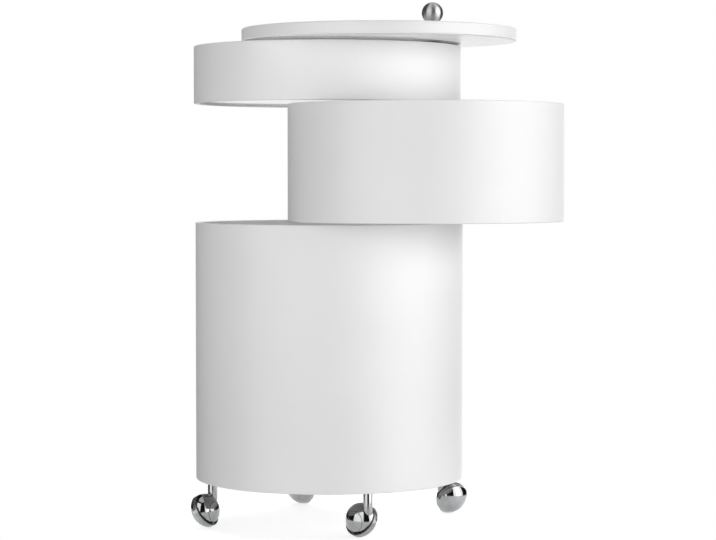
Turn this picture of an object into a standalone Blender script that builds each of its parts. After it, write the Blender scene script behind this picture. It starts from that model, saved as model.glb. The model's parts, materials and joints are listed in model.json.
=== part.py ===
"""Round bar cabinet on ball casters.

A base drum carries an upright rod near its right wall. Two shallower drums and a lid swing on
that rod, each by itself, and a ball screwed on the rod's end holds them down. The pieces stand
swung apart, as in use. Metres, +Z up, with the floor at z = 0.
"""

import math

import bmesh
import bpy
import numpy as np

# Drums and lid
DRUM_RADIUS = 0.190
SHELL_WALL = 0.008
BASE_HEIGHT = 0.364
MID_HEIGHT = 0.161
TOP_HEIGHT = 0.081
RIM_ROUND = 0.0015
LID_THICKNESS = 0.0155
LID_ROUND = 0.0025
BASE_CLEARANCE = 0.0625  # floor to the base drum's lower rim

# Floors, each let into a groove round the inside of its shell
BASE_FLOOR_THICKNESS = 0.022
BASE_FLOOR_RECESS = 0.010
DRUM_FLOOR_THICKNESS = 0.012
DRUM_FLOOR_RECESS = 0.005
GROOVE_DEPTH = 0.003

# Clearances
SEAT_GAP = 0.0003  # between two pieces that rest on or sit in each other
RUNNING_GAP = 0.0004  # round a shaft that turns in a hole

# Pivot rod with the tubes, washers and screws round it
PIVOT_ANGLE = 17.8  # degrees from +X, round the base drum's axis
ROD_RADIUS = 0.007
SLEEVE_WALL = 0.004
FLANGE_WIDTH = 0.0127
FLANGE_THICKNESS = 0.004
FLANGE_WALL_GAP = 0.002  # flange's edge to the shell's wall
COLUMN_FOOT = 0.003  # bottom of the base column, which the rod is screwed into
WASHER_THICKNESS = 0.003
SCREWS_PER_FLANGE = 3
FIRST_SCREW_ANGLE = 60.0  # degrees from the outward direction
SCREW_RADIUS = 0.002
SCREW_BITE = 0.008  # depth in the wood
SCREW_HEAD_RADIUS = 0.004
SCREW_HEAD_HEIGHT = 0.0022

# Lid bush and ball
BUSH_FLANGE_WIDTH = 0.004
BUSH_FLANGE_THICKNESS = 0.0015
KNOB_WASHER_THICKNESS = 0.0015
BALL_RADIUS = 0.0155
BALL_HEIGHT = 0.032  # ball's centre above the lid
NECK_WALL = 0.002
NECK_FOOT_HEIGHT = 0.003

# Swing of each piece from closed, in degrees, counter-clockwise seen from above
MID_SWING = 67.0
TOP_SWING = -3.6
LID_SWING = 42.0

# Casters
CASTER_ANGLE = 18.4  # degrees from +X to the right-hand caster's stem
STEM_RADIUS = 0.0065
STEM_SEAT_HEIGHT = 0.007  # stem's lower end above the hood's middle
PINTLE_RADIUS = 0.004
SOCKET_WALL = 0.0018
SOCKET_FLANGE_WIDTH = 0.0023
SOCKET_FLANGE_THICKNESS = 0.0015
SOCKET_WALL_GAP = 0.001  # socket flange's edge to the shell's wall
SOCKET_ROOF = 0.004  # floor left above the socket
HOOD_TRAIL = 0.0145  # stem to the hood's middle, along the way the caster rolls
HOOD_SIDE_OFFSET = 0.0038  # stem to the hood's middle, across that way
HOOD_RADIUS = 0.0243
HOOD_DOME = 0.0188  # hood's middle to the crown on the cap's side
CAP_RADIUS = 0.014
CAP_SHOULDER = 0.0004  # hood's flat seen round the cap
CAP_EDGE = 0.0006
CAP_DOME = 0.0034
CAP_BOSS_RADIUS = 0.005
CAP_BOSS_DEPTH = 0.0018
AXLE_TILT = 30.0  # degrees above level, on the hood's side
AXLE_RADIUS = 0.003
AXLE_HOOD_BITE = 0.006  # depth in the hood
AXLE_WHEEL_BITE = 0.014  # depth in the wheel
CASTER_GAP = 0.001  # wheel to hood
GAP_OFFSET = 0.005  # hood's middle to the gap's middle, up along the axle
TREAD_RADIUS = 0.0241
TREAD_WIDTH = 0.008
TREAD_EDGE = 0.0005
TREAD_STEP = 0.0004  # tread's rise above the wheel's dome
WHEEL_DOME = 0.0141
HUB_RADIUS = 0.008
HOLLOW_DEPTH = 0.003  # hollow in the wheel's face, between hub and rim
RIM_WALL = 0.001

# Name, place round the base and heading of each caster, in degrees
CASTERS = (
    ("right", 0, 122),
    ("back", 90, 48),
    ("left", 180, -28),
    ("front", 270, 229),
)

# How finely round pieces are divided
DRUM_SIDES = 64
BALL_SIDES = 24
TUBE_SIDES = 16
SMALL_SIDES = 12
ROUND_STEPS = 2
DOME_STEPS = 5
CAP_STEPS = 3
BALL_STEPS = 9
SHARP_ANGLE = math.radians(35)
AXIS_MERGE = 0.00001

# Radii that follow
DRUM_BORE = DRUM_RADIUS - SHELL_WALL
SLEEVE_BORE = ROD_RADIUS + RUNNING_GAP
SLEEVE_RADIUS = SLEEVE_BORE + SLEEVE_WALL
FLANGE_RADIUS = SLEEVE_RADIUS + FLANGE_WIDTH
FLANGE_SCREW_CIRCLE = SLEEVE_RADIUS + FLANGE_WIDTH / 2
PIVOT_OFFSET = DRUM_BORE - FLANGE_WALL_GAP - FLANGE_RADIUS
PINTLE_BORE = PINTLE_RADIUS + RUNNING_GAP
SOCKET_RADIUS = PINTLE_BORE + SOCKET_WALL
SOCKET_FLANGE_RADIUS = SOCKET_RADIUS + SOCKET_FLANGE_WIDTH
CASTER_CIRCLE = DRUM_BORE - SOCKET_WALL_GAP - SOCKET_FLANGE_RADIUS

# Levels that follow
DRUM_GAP = WASHER_THICKNESS + 2 * SEAT_GAP
BASE_FLOOR_BOTTOM = BASE_CLEARANCE + BASE_FLOOR_RECESS
BASE_FLOOR_TOP = BASE_FLOOR_BOTTOM + BASE_FLOOR_THICKNESS
BASE_TOP = BASE_CLEARANCE + BASE_HEIGHT
MID_BOTTOM = BASE_TOP + DRUM_GAP
TOP_BOTTOM = MID_BOTTOM + MID_HEIGHT + DRUM_GAP
LID_BOTTOM = TOP_BOTTOM + TOP_HEIGHT + DRUM_GAP
LID_TOP = LID_BOTTOM + LID_THICKNESS
BUSH_TOP = LID_TOP + SEAT_GAP + BUSH_FLANGE_THICKNESS
KNOB_BOTTOM = BUSH_TOP + SEAT_GAP + KNOB_WASHER_THICKNESS + SEAT_GAP
BALL_LEVEL = LID_TOP + BALL_HEIGHT
COLUMN_BOTTOM = BASE_FLOOR_TOP + SEAT_GAP
ROD_BOTTOM = COLUMN_BOTTOM + COLUMN_FOOT + SEAT_GAP
SOCKET_BOTTOM = BASE_FLOOR_BOTTOM - SEAT_GAP - SOCKET_FLANGE_THICKNESS
SOCKET_TOP = BASE_FLOOR_TOP - SOCKET_ROOF

PIVOT = (
    PIVOT_OFFSET * math.cos(math.radians(PIVOT_ANGLE)),
    PIVOT_OFFSET * math.sin(math.radians(PIVOT_ANGLE)),
)


# Scene, finishes and basic shapes


def clear_scene():
    for obj in list(bpy.data.objects):
        bpy.data.objects.remove(obj, do_unlink=True)


def new_collection(name):
    collection = bpy.data.collections.new(name)
    bpy.context.scene.collection.children.link(collection)
    return collection


def finish(name, colour, roughness, metallic=0.0):
    material = bpy.data.materials.new(name)
    material.use_nodes = True
    shader = material.node_tree.nodes["Principled BSDF"]
    shader.inputs["Base Color"].default_value = (*colour, 1.0)
    shader.inputs["Roughness"].default_value = roughness
    shader.inputs["Metallic"].default_value = metallic
    return material


def empty(name, parent=None, place=(0.0, 0.0, 0.0), turn=(0.0, 0.0, 0.0)):
    """An empty that carries pieces, turned by three angles in degrees."""
    carrier = bpy.data.objects.new(name, None)
    carrier.empty_display_size = STEM_RADIUS
    carrier.parent = parent
    carrier.location = place
    carrier.rotation_euler = [math.radians(angle) for angle in turn]
    PARTS.objects.link(carrier)
    return carrier


def arc(centre, radius, start, end, steps):
    """Points (radius, height) on an arc in an outline, between two angles in degrees."""
    points = []
    for step in range(steps + 1):
        angle = math.radians(start + (end - start) * step / steps)
        points.append((centre[0] + radius * math.cos(angle), centre[1] + radius * math.sin(angle)))
    return points


def dome(base_radius, depth, steps):
    """Points (radius, height) over a round dome, from its crown down to its rim at height 0."""
    ball = (base_radius**2 + depth**2) / (2 * depth)
    half_angle = math.atan2(base_radius, ball - depth)
    points = []
    for step in range(steps + 1):
        angle = half_angle * step / steps
        points.append((ball * math.sin(angle), ball * math.cos(angle) - (ball - depth)))
    return points


def turned(name, outline, sides, material, parent, place=(0.0, 0.0, 0.0)):
    """A piece turned from (radius, height) points that run down its outer side.

    An outline that starts and ends on the axis makes a solid, any other is closed into a ring.
    """
    ring = outline[0][0] > 0
    edges = [(i, i + 1) for i in range(len(outline) - 1)]
    if ring:
        edges.append((len(outline) - 1, 0))
    mesh = bpy.data.meshes.new(name)
    mesh.from_pydata([(radius, 0.0, height) for radius, height in outline], edges, [])
    piece = bpy.data.objects.new(name, mesh)
    PARTS.objects.link(piece)
    screw = piece.modifiers.new("Turn", "SCREW")
    screw.steps = sides
    screw.render_steps = sides
    screw.use_merge_vertices = True
    screw.merge_threshold = AXIS_MERGE
    bpy.context.view_layer.objects.active = piece
    bpy.ops.object.modifier_apply(modifier=screw.name)
    piece.data.shade_smooth()
    piece.data.set_sharp_from_angle(angle=SHARP_ANGLE)
    piece.data.materials.append(material)
    piece.parent = parent
    piece.location = place
    return piece


def hole_cutter(name, radius, low, high, sides, parent, place=(0.0, 0.0)):
    """An upright round cutter between two levels."""
    mesh = bpy.data.meshes.new(name)
    shape = bmesh.new()
    bmesh.ops.create_cone(
        shape, cap_ends=True, segments=sides, radius1=radius, radius2=radius, depth=high - low
    )
    shape.to_mesh(mesh)
    shape.free()
    cutter = bpy.data.objects.new(name, mesh)
    CUTTERS.objects.link(cutter)
    cutter.parent = parent
    cutter.location = (*place, (low + high) / 2)
    cutter.hide_render = True
    cutter.display_type = "WIRE"
    return cutter


def cut(piece, cutter):
    boolean = piece.modifiers.new(cutter.name, "BOOLEAN")
    boolean.operation = "DIFFERENCE"
    boolean.object = cutter


# Drums


def shell_outline(height, recess, floor_thickness):
    """A straight wall with rounded rims and, inside, the groove that the floor sits in."""
    outer = DRUM_RADIUS - RIM_ROUND
    inner = DRUM_BORE + RIM_ROUND
    groove = DRUM_BORE + GROOVE_DEPTH
    groove_low = recess - SEAT_GAP
    groove_high = recess + floor_thickness + SEAT_GAP
    return [
        *arc((inner, height - RIM_ROUND), RIM_ROUND, 180, 90, ROUND_STEPS),
        *arc((outer, height - RIM_ROUND), RIM_ROUND, 90, 0, ROUND_STEPS),
        *arc((outer, RIM_ROUND), RIM_ROUND, 0, -90, ROUND_STEPS),
        *arc((inner, RIM_ROUND), RIM_ROUND, -90, -180, ROUND_STEPS),
        (DRUM_BORE, groove_low),
        (groove, groove_low),
        (groove, groove_high),
        (DRUM_BORE, groove_high),
    ]


def disc_outline(radius, thickness):
    return [(0.0, thickness), (radius, thickness), (radius, 0.0), (0.0, 0.0)]


def ring_outline(bore, radius, thickness):
    return [(bore, thickness), (radius, thickness), (radius, 0.0), (bore, 0.0)]


def column_outline(height):
    """The base's tube round the rod, with a closed foot and a flange that lies on the floor."""
    return [
        (0.0, COLUMN_FOOT),
        (SLEEVE_BORE, COLUMN_FOOT),
        (SLEEVE_BORE, height),
        (SLEEVE_RADIUS, height),
        (SLEEVE_RADIUS, FLANGE_THICKNESS),
        (FLANGE_RADIUS, FLANGE_THICKNESS),
        (FLANGE_RADIUS, 0.0),
        (0.0, 0.0),
    ]


def sleeve_outline(height, flange_bottom):
    """A swinging drum's tube round the rod, which goes through the floor under its flange."""
    flange_top = flange_bottom + FLANGE_THICKNESS
    return [
        (SLEEVE_BORE, height),
        (SLEEVE_RADIUS, height),
        (SLEEVE_RADIUS, flange_top),
        (FLANGE_RADIUS, flange_top),
        (FLANGE_RADIUS, flange_bottom),
        (SLEEVE_RADIUS, flange_bottom),
        (SLEEVE_RADIUS, 0.0),
        (SLEEVE_BORE, 0.0),
    ]


def screw_outline():
    """A round-headed wood screw whose head's underside is at height 0."""
    length = SEAT_GAP + FLANGE_THICKNESS + SEAT_GAP + SCREW_BITE
    return [
        *dome(SCREW_HEAD_RADIUS, SCREW_HEAD_HEIGHT, ROUND_STEPS),
        (SCREW_RADIUS, 0.0),
        (SCREW_RADIUS, SCREW_RADIUS - length),
        (0.0, -length),
    ]


def build_shell(name, level, height, recess, floor_thickness, axis):
    """A shell and the floor in its groove. Gives the floor back, for its holes."""
    turned(
        f"{name}_shell", shell_outline(height, recess, floor_thickness), DRUM_SIDES, LACQUER,
        axis, (0.0, 0.0, level),
    )
    floor_radius = DRUM_BORE + GROOVE_DEPTH - SEAT_GAP
    return turned(
        f"{name}_floor", disc_outline(floor_radius, floor_thickness), DRUM_SIDES, LACQUER,
        axis, (0.0, 0.0, level + recess),
    )


def screw_down(name, tube, floor, floor_top, pivot):
    """Screws round a tube's flange into the floor under it, with their holes in both."""
    head_level = floor_top + SEAT_GAP + FLANGE_THICKNESS + SEAT_GAP
    hole_bottom = floor_top - SCREW_BITE - SEAT_GAP
    for number in range(1, SCREWS_PER_FLANGE + 1):
        turn = FIRST_SCREW_ANGLE + 360 * number / SCREWS_PER_FLANGE
        angle = math.radians(PIVOT_ANGLE + turn)
        place = (FLANGE_SCREW_CIRCLE * math.cos(angle), FLANGE_SCREW_CIRCLE * math.sin(angle))
        screw_name = f"{name}_screw_{number}"
        turned(screw_name, screw_outline(), SMALL_SIDES, STEEL, pivot, (*place, head_level))
        hole = hole_cutter(
            f"{screw_name}_hole", SCREW_RADIUS + SEAT_GAP, hole_bottom, head_level, SMALL_SIDES,
            pivot, place,
        )
        cut(floor, hole)
        cut(tube, hole)


def build_base(root, pivot):
    """The base drum with the column that carries the drums above, and the rod in the column."""
    floor = build_shell(
        "base", BASE_CLEARANCE, BASE_HEIGHT, BASE_FLOOR_RECESS, BASE_FLOOR_THICKNESS, root
    )
    column = turned(
        "base_column", column_outline(BASE_TOP - COLUMN_BOTTOM), TUBE_SIDES, CHROME, pivot,
        (0.0, 0.0, COLUMN_BOTTOM),
    )
    screw_down("base", column, floor, BASE_FLOOR_TOP, pivot)
    turned(
        "pivot_rod", disc_outline(ROD_RADIUS, BALL_LEVEL - ROD_BOTTOM), TUBE_SIDES, STEEL, pivot,
        (0.0, 0.0, ROD_BOTTOM),
    )
    return floor


def build_swinging_drum(name, level, height, swing, root):
    """A drum that swings on the rod, on a sleeve as tall as the drum."""
    pivot = empty(f"{name}_pivot", root, (*PIVOT, 0.0), (0.0, 0.0, swing))
    axis = empty(f"{name}_axis", pivot, (-PIVOT[0], -PIVOT[1], 0.0))
    floor = build_shell(name, level, height, DRUM_FLOOR_RECESS, DRUM_FLOOR_THICKNESS, axis)
    floor_top = level + DRUM_FLOOR_RECESS + DRUM_FLOOR_THICKNESS
    sleeve = turned(
        f"{name}_sleeve", sleeve_outline(height, floor_top + SEAT_GAP - level), TUBE_SIDES, CHROME,
        pivot, (0.0, 0.0, level),
    )
    cut(floor, hole_cutter(
        f"{name}_sleeve_hole", SLEEVE_RADIUS + SEAT_GAP, level, floor_top + SEAT_GAP, TUBE_SIDES, pivot
    ))
    screw_down(name, sleeve, floor, floor_top, pivot)


def build_thrust_washers(pivot):
    """One washer under each swinging piece, round the rod."""
    outline = ring_outline(SLEEVE_BORE, SLEEVE_RADIUS, WASHER_THICKNESS)
    for name, level in (("mid", MID_BOTTOM), ("top", TOP_BOTTOM), ("lid", LID_BOTTOM)):
        place = (0.0, 0.0, level - SEAT_GAP - WASHER_THICKNESS)
        turned(f"{name}_thrust_washer", outline, TUBE_SIDES, NYLON, pivot, place)


# Lid and ball


def build_lid(root):
    """The lid with the flanged bush that turns on the rod."""
    pivot = empty("lid_pivot", root, (*PIVOT, 0.0), (0.0, 0.0, LID_SWING))
    edge = DRUM_RADIUS - LID_ROUND
    outline = [
        (0.0, LID_THICKNESS),
        *arc((edge, LID_THICKNESS - LID_ROUND), LID_ROUND, 90, 0, ROUND_STEPS),
        *arc((edge, LID_ROUND), LID_ROUND, 0, -90, ROUND_STEPS),
        (0.0, 0.0),
    ]
    lid = turned("lid", outline, DRUM_SIDES, LACQUER, pivot, (-PIVOT[0], -PIVOT[1], LID_BOTTOM))
    cut(lid, hole_cutter("lid_bush_hole", SLEEVE_RADIUS + SEAT_GAP, LID_BOTTOM - SEAT_GAP,
                         LID_TOP + SEAT_GAP, TUBE_SIDES, pivot))
    flange_radius = SLEEVE_RADIUS + BUSH_FLANGE_WIDTH
    bush_height = BUSH_TOP - LID_BOTTOM
    flange_bottom = bush_height - BUSH_FLANGE_THICKNESS
    turned(
        "lid_bush",
        [
            (SLEEVE_BORE, bush_height),
            (flange_radius, bush_height),
            (flange_radius, flange_bottom),
            (SLEEVE_RADIUS, flange_bottom),
            (SLEEVE_RADIUS, 0.0),
            (SLEEVE_BORE, 0.0),
        ],
        TUBE_SIDES, CHROME, pivot, (0.0, 0.0, LID_BOTTOM),
    )


def build_knob(pivot):
    """The ball on a short neck, bored to screw on the rod, and the washer under it."""
    foot_radius = SLEEVE_RADIUS
    neck_radius = SLEEVE_BORE + NECK_WALL
    neck_angle = math.degrees(math.asin(neck_radius / BALL_RADIUS))
    centre = (0.0, BALL_LEVEL - KNOB_BOTTOM)
    bore = ROD_RADIUS + SEAT_GAP
    bore_top = BALL_LEVEL + SEAT_GAP - KNOB_BOTTOM
    outline = [
        (0.0, centre[1] + BALL_RADIUS),
        *arc(centre, BALL_RADIUS, 90, neck_angle - 90, BALL_STEPS)[1:],
        (neck_radius, NECK_FOOT_HEIGHT + foot_radius - neck_radius),
        (foot_radius, NECK_FOOT_HEIGHT),
        (foot_radius, 0.0),
        (bore, 0.0),
        (bore, bore_top),
        (0.0, bore_top),
    ]
    turned("ball_knob", outline, BALL_SIDES, CHROME, pivot, (0.0, 0.0, KNOB_BOTTOM))
    turned(
        "knob_washer", ring_outline(bore, foot_radius, KNOB_WASHER_THICKNESS), TUBE_SIDES, NYLON,
        pivot, (0.0, 0.0, BUSH_TOP + SEAT_GAP),
    )


# Casters


def wheel_outline():
    """Along the axle, with the gap's middle at height 0 and the wheel below it."""
    face = -CASTER_GAP / 2
    bore = AXLE_RADIUS + RUNNING_GAP
    bore_end = face - AXLE_WHEEL_BITE - SEAT_GAP
    hollow = face - HOLLOW_DEPTH
    rim_bore = TREAD_RADIUS - TREAD_EDGE - RIM_WALL
    tread_end = face - TREAD_WIDTH
    crown = dome(TREAD_RADIUS - TREAD_STEP, WHEEL_DOME, DOME_STEPS)
    return [
        (0.0, bore_end),
        (bore, bore_end),
        (bore, face),
        (HUB_RADIUS, face),
        (HUB_RADIUS, hollow),
        (rim_bore, hollow),
        (rim_bore, face),
        (TREAD_RADIUS - TREAD_EDGE, face),
        (TREAD_RADIUS, face - TREAD_EDGE),
        (TREAD_RADIUS, tread_end),
        *[(radius, tread_end - height) for radius, height in reversed(crown)],
    ]


def axle_height():
    """The gap's middle above the floor, with a flat of the wheel's tread resting on the floor."""
    tilt = math.radians(AXLE_TILT)
    flat = math.cos(math.pi / BALL_SIDES)
    return max(
        radius * flat * math.cos(tilt) - height * math.sin(tilt) for radius, height in wheel_outline()
    )


def hood_flank():
    """Points on the hood from the flat that the cap sits on to the hood's widest part."""
    seat_angle = math.acos((CAP_RADIUS + CAP_SHOULDER) / HOOD_RADIUS)
    points = []
    for step in range(DOME_STEPS + 1):
        angle = seat_angle * (1 - step / DOME_STEPS)
        points.append((HOOD_RADIUS * math.cos(angle), HOOD_DOME * math.sin(angle)))
    return points


def hood_outline():
    """A ball, flatter on the cap's side, with a hole there for the cap's boss."""
    flank = hood_flank()
    seat = flank[0][1]
    hole = CAP_BOSS_RADIUS + SEAT_GAP
    hole_bottom = seat - CAP_BOSS_DEPTH - SEAT_GAP
    return [
        (0.0, hole_bottom),
        (hole, hole_bottom),
        (hole, seat),
        *flank,
        *arc((0.0, 0.0), HOOD_RADIUS, 0, -90, DOME_STEPS)[1:-1],
        (0.0, -HOOD_RADIUS),
    ]


def cap_outline():
    flat = hood_flank()[0][1]
    seat = flat + SEAT_GAP
    edge = seat + CAP_EDGE
    crown = [(radius, edge + height) for radius, height in dome(CAP_RADIUS, CAP_DOME, CAP_STEPS)]
    return [
        *crown,
        (CAP_RADIUS, seat),
        (CAP_BOSS_RADIUS, seat),
        (CAP_BOSS_RADIUS, flat - CAP_BOSS_DEPTH),
        (0.0, flat - CAP_BOSS_DEPTH),
    ]


def stem_outline(height):
    """The stem, whose thinner top turns in the socket."""
    shoulder = SOCKET_BOTTOM - SEAT_GAP
    pintle = SOCKET_TOP - SEAT_GAP - shoulder
    return [
        (0.0, height + pintle),
        (PINTLE_RADIUS, height + pintle),
        (PINTLE_RADIUS, height),
        (STEM_RADIUS, height),
        (STEM_RADIUS, 0.0),
        (0.0, 0.0),
    ]


def socket_outline():
    flange_top = SOCKET_FLANGE_THICKNESS
    top = SOCKET_TOP - SOCKET_BOTTOM
    return [
        (PINTLE_BORE, top),
        (SOCKET_RADIUS, top),
        (SOCKET_RADIUS, flange_top),
        (SOCKET_FLANGE_RADIUS, flange_top),
        (SOCKET_FLANGE_RADIUS, 0.0),
        (PINTLE_BORE, 0.0),
    ]


def build_hood(name, hood_line, axle_line, swivel, stem_bottom):
    """The hood with its stem, both cut off square to the axle, which is let into the hood."""
    hood = turned(f"{name}_hood", hood_outline(), BALL_SIDES, CHROME, hood_line)
    stem = turned(
        f"{name}_stem", stem_outline(SOCKET_BOTTOM - SEAT_GAP - stem_bottom), TUBE_SIDES, CHROME,
        swivel, (0.0, 0.0, stem_bottom),
    )
    face = CASTER_GAP / 2
    wheel_space = hole_cutter(
        f"{name}_wheel_space", 2 * HOOD_RADIUS, -2 * HOOD_RADIUS, face, BALL_SIDES, axle_line
    )
    axle_hole = hole_cutter(
        f"{name}_axle_hole", AXLE_RADIUS + SEAT_GAP, -face, face + AXLE_HOOD_BITE + SEAT_GAP,
        SMALL_SIDES, axle_line,
    )
    stem_hole = hole_cutter(
        f"{name}_stem_hole", STEM_RADIUS + SEAT_GAP, stem_bottom - SEAT_GAP, BASE_CLEARANCE,
        TUBE_SIDES, swivel,
    )
    cut(hood, wheel_space)
    cut(hood, axle_hole)
    cut(hood, stem_hole)
    cut(stem, wheel_space)


def build_caster(name, angle, heading, base_floor, root):
    """One caster: a socket in the floor, then all that swivels with the stem, and the wheel."""
    turn = math.radians(CASTER_ANGLE + angle)
    place = (CASTER_CIRCLE * math.cos(turn), CASTER_CIRCLE * math.sin(turn))
    turned(f"{name}_socket", socket_outline(), TUBE_SIDES, STEEL, root, (*place, SOCKET_BOTTOM))
    cut(base_floor, hole_cutter(
        f"{name}_socket_hole", SOCKET_RADIUS + SEAT_GAP, BASE_CLEARANCE, SOCKET_TOP + SEAT_GAP,
        TUBE_SIDES, root, place,
    ))

    tilt = math.radians(AXLE_TILT)
    gap_level = axle_height()
    gap_side = GAP_OFFSET * math.cos(tilt) - HOOD_SIDE_OFFSET
    hood_level = gap_level - GAP_OFFSET * math.sin(tilt)
    swivel = empty(f"{name}_swivel", root, (*place, 0.0), (0.0, 0.0, heading))
    hood_line = empty(
        f"{name}_hood_line", swivel, (-HOOD_SIDE_OFFSET, -HOOD_TRAIL, hood_level), (0.0, 90.0, 0.0)
    )
    axle_line = empty(
        f"{name}_axle_line", swivel, (gap_side, -HOOD_TRAIL, gap_level), (0.0, 90 - AXLE_TILT, 0.0)
    )

    build_hood(name, hood_line, axle_line, swivel, hood_level + STEM_SEAT_HEIGHT)
    turned(f"{name}_cap", cap_outline(), BALL_SIDES, CHROME, hood_line)
    axle_end = -CASTER_GAP / 2 - AXLE_WHEEL_BITE
    axle_length = AXLE_WHEEL_BITE + CASTER_GAP + AXLE_HOOD_BITE
    turned(
        f"{name}_axle", disc_outline(AXLE_RADIUS, axle_length), SMALL_SIDES, STEEL, axle_line,
        (0.0, 0.0, axle_end),
    )
    wheel = turned(f"{name}_wheel", wheel_outline(), BALL_SIDES, CHROME, axle_line)
    wheel.rotation_euler.z = math.pi / BALL_SIDES


def centre_on_floor(root):
    """Moves the whole cabinet so that the middle of its box stands on the world's origin."""
    bpy.context.view_layer.update()
    graph = bpy.context.evaluated_depsgraph_get()
    corners = []
    for piece in PARTS.objects:
        if piece.type != "MESH":
            continue
        shape = piece.evaluated_get(graph)
        points = np.array([shape.matrix_world @ vertex.co for vertex in shape.data.vertices])
        corners += [points.min(axis=0), points.max(axis=0)]
    corners = np.array(corners)
    middle = (corners.min(axis=0) + corners.max(axis=0)) / 2
    root.location = (-middle[0], -middle[1], -corners[:, 2].min())
    bpy.context.view_layer.update()


clear_scene()
PARTS = new_collection("bar_cabinet")
CUTTERS = new_collection("bar_cabinet_cutters")
LACQUER = finish("white_lacquer", (0.86, 0.86, 0.86), 0.35)
CHROME = finish("chrome", (0.72, 0.72, 0.73), 0.12, 1.0)
STEEL = finish("plain_steel", (0.45, 0.45, 0.46), 0.35, 1.0)
NYLON = finish("black_nylon", (0.03, 0.03, 0.03), 0.5)

cabinet = empty("bar_cabinet")
base_pivot = empty("base_pivot", cabinet, (*PIVOT, 0.0))
cabinet_floor = build_base(cabinet, base_pivot)
build_swinging_drum("mid", MID_BOTTOM, MID_HEIGHT, MID_SWING, cabinet)
build_swinging_drum("top", TOP_BOTTOM, TOP_HEIGHT, TOP_SWING, cabinet)
build_lid(cabinet)
build_thrust_washers(base_pivot)
build_knob(base_pivot)
for caster_name, caster_angle, caster_heading in CASTERS:
    build_caster(f"caster_{caster_name}", caster_angle, caster_heading, cabinet_floor, cabinet)
centre_on_floor(cabinet)
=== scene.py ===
"""The looks of the round bar cabinet: finer pieces, finishes, studio and camera.

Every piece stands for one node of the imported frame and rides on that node's body. Metres, +Z up.
"""

import json
import math

import bmesh
import bpy
from mathutils import Matrix, Vector

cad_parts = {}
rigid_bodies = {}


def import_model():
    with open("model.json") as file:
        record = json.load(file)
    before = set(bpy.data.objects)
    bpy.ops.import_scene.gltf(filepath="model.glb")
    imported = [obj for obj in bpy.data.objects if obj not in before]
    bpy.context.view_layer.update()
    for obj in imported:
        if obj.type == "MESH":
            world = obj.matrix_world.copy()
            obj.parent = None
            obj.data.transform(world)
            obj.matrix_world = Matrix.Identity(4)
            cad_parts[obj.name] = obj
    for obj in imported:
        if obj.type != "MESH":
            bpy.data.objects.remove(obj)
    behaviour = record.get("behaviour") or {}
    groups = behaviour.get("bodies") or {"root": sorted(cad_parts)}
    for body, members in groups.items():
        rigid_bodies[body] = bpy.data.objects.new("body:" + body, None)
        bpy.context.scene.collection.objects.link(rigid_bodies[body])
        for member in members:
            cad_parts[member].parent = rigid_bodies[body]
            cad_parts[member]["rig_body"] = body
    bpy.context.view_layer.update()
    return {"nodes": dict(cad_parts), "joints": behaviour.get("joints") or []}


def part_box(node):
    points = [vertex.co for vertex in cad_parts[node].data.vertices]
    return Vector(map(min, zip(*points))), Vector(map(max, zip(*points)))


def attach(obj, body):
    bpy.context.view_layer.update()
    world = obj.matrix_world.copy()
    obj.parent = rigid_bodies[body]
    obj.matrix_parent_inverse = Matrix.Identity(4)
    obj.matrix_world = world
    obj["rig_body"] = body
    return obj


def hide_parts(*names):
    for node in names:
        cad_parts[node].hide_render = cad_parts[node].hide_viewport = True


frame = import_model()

# Drums and lid
SHELL_WALL = 0.008
GROOVE_DEPTH = 0.003
RIM_ROUND = 0.0015
LID_ROUND = 0.0025
FLOOR_FACING = 0.0024  # sheet under a swinging drum's floor, inside the shell's skirt
LID_FACING = 0.0018  # sheet under the lid, which narrows the gap over the top drum

# Clearances, as in the solids
SEAT_GAP = 0.0003
RUNNING_GAP = 0.0004

# Pivot rod with the tubes, washers and screws round it
ROD_RADIUS = 0.007
SLEEVE_BORE = ROD_RADIUS + RUNNING_GAP
SLEEVE_WALL = 0.004
SLEEVE_RADIUS = SLEEVE_BORE + SLEEVE_WALL
FLANGE_WIDTH = 0.0127
FLANGE_RADIUS = SLEEVE_RADIUS + FLANGE_WIDTH
FLANGE_THICKNESS = 0.004
COLUMN_FOOT = 0.003
SCREW_NUMBERS = (1, 2, 3)  # in each flange
SCREW_RADIUS = 0.002
SCREW_HEAD_RADIUS = 0.004
SCREW_HEAD_HEIGHT = 0.0022
RECESS_LENGTH = 0.0046  # cross in a screw's head
RECESS_WIDTH = 0.0009
RECESS_DEPTH = 0.0012
BUSH_FLANGE_WIDTH = 0.004
BUSH_FLANGE_RADIUS = SLEEVE_RADIUS + BUSH_FLANGE_WIDTH
BUSH_FLANGE_THICKNESS = 0.0015

# Ball
BALL_RADIUS = 0.0155
NECK_WALL = 0.002
NECK_RADIUS = SLEEVE_BORE + NECK_WALL
NECK_FOOT_HEIGHT = 0.003

# Casters
STEM_RADIUS = 0.0065
STEM_SEAT_HEIGHT = 0.007
PINTLE_RADIUS = 0.004
SOCKET_BORE = PINTLE_RADIUS + RUNNING_GAP
SOCKET_WALL = 0.0018
SOCKET_RADIUS = SOCKET_BORE + SOCKET_WALL
SOCKET_FLANGE_WIDTH = 0.0023
SOCKET_FLANGE_RADIUS = SOCKET_RADIUS + SOCKET_FLANGE_WIDTH
SOCKET_FLANGE_THICKNESS = 0.0015
HOOD_RADIUS = 0.0242
HOOD_DOME = 0.0188
HOOD_LIP = 0.0009  # rounding of the hood's edge along the gap
CAP_RADIUS = 0.014
CAP_SHOULDER = 0.0004
CAP_EDGE = 0.0006
CAP_DOME = 0.0034
CAP_BOSS_RADIUS = 0.005
CAP_BOSS_DEPTH = 0.0018
AXLE_RADIUS = 0.003
AXLE_HOOD_BITE = 0.006
AXLE_WHEEL_BITE = 0.014
CASTER_GAP = 0.001
GAP_OFFSET = 0.005  # hood's middle to the gap's middle, up along the axle
WHEEL_RADIUS = 0.0241  # to the corners of the solid wheel
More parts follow.
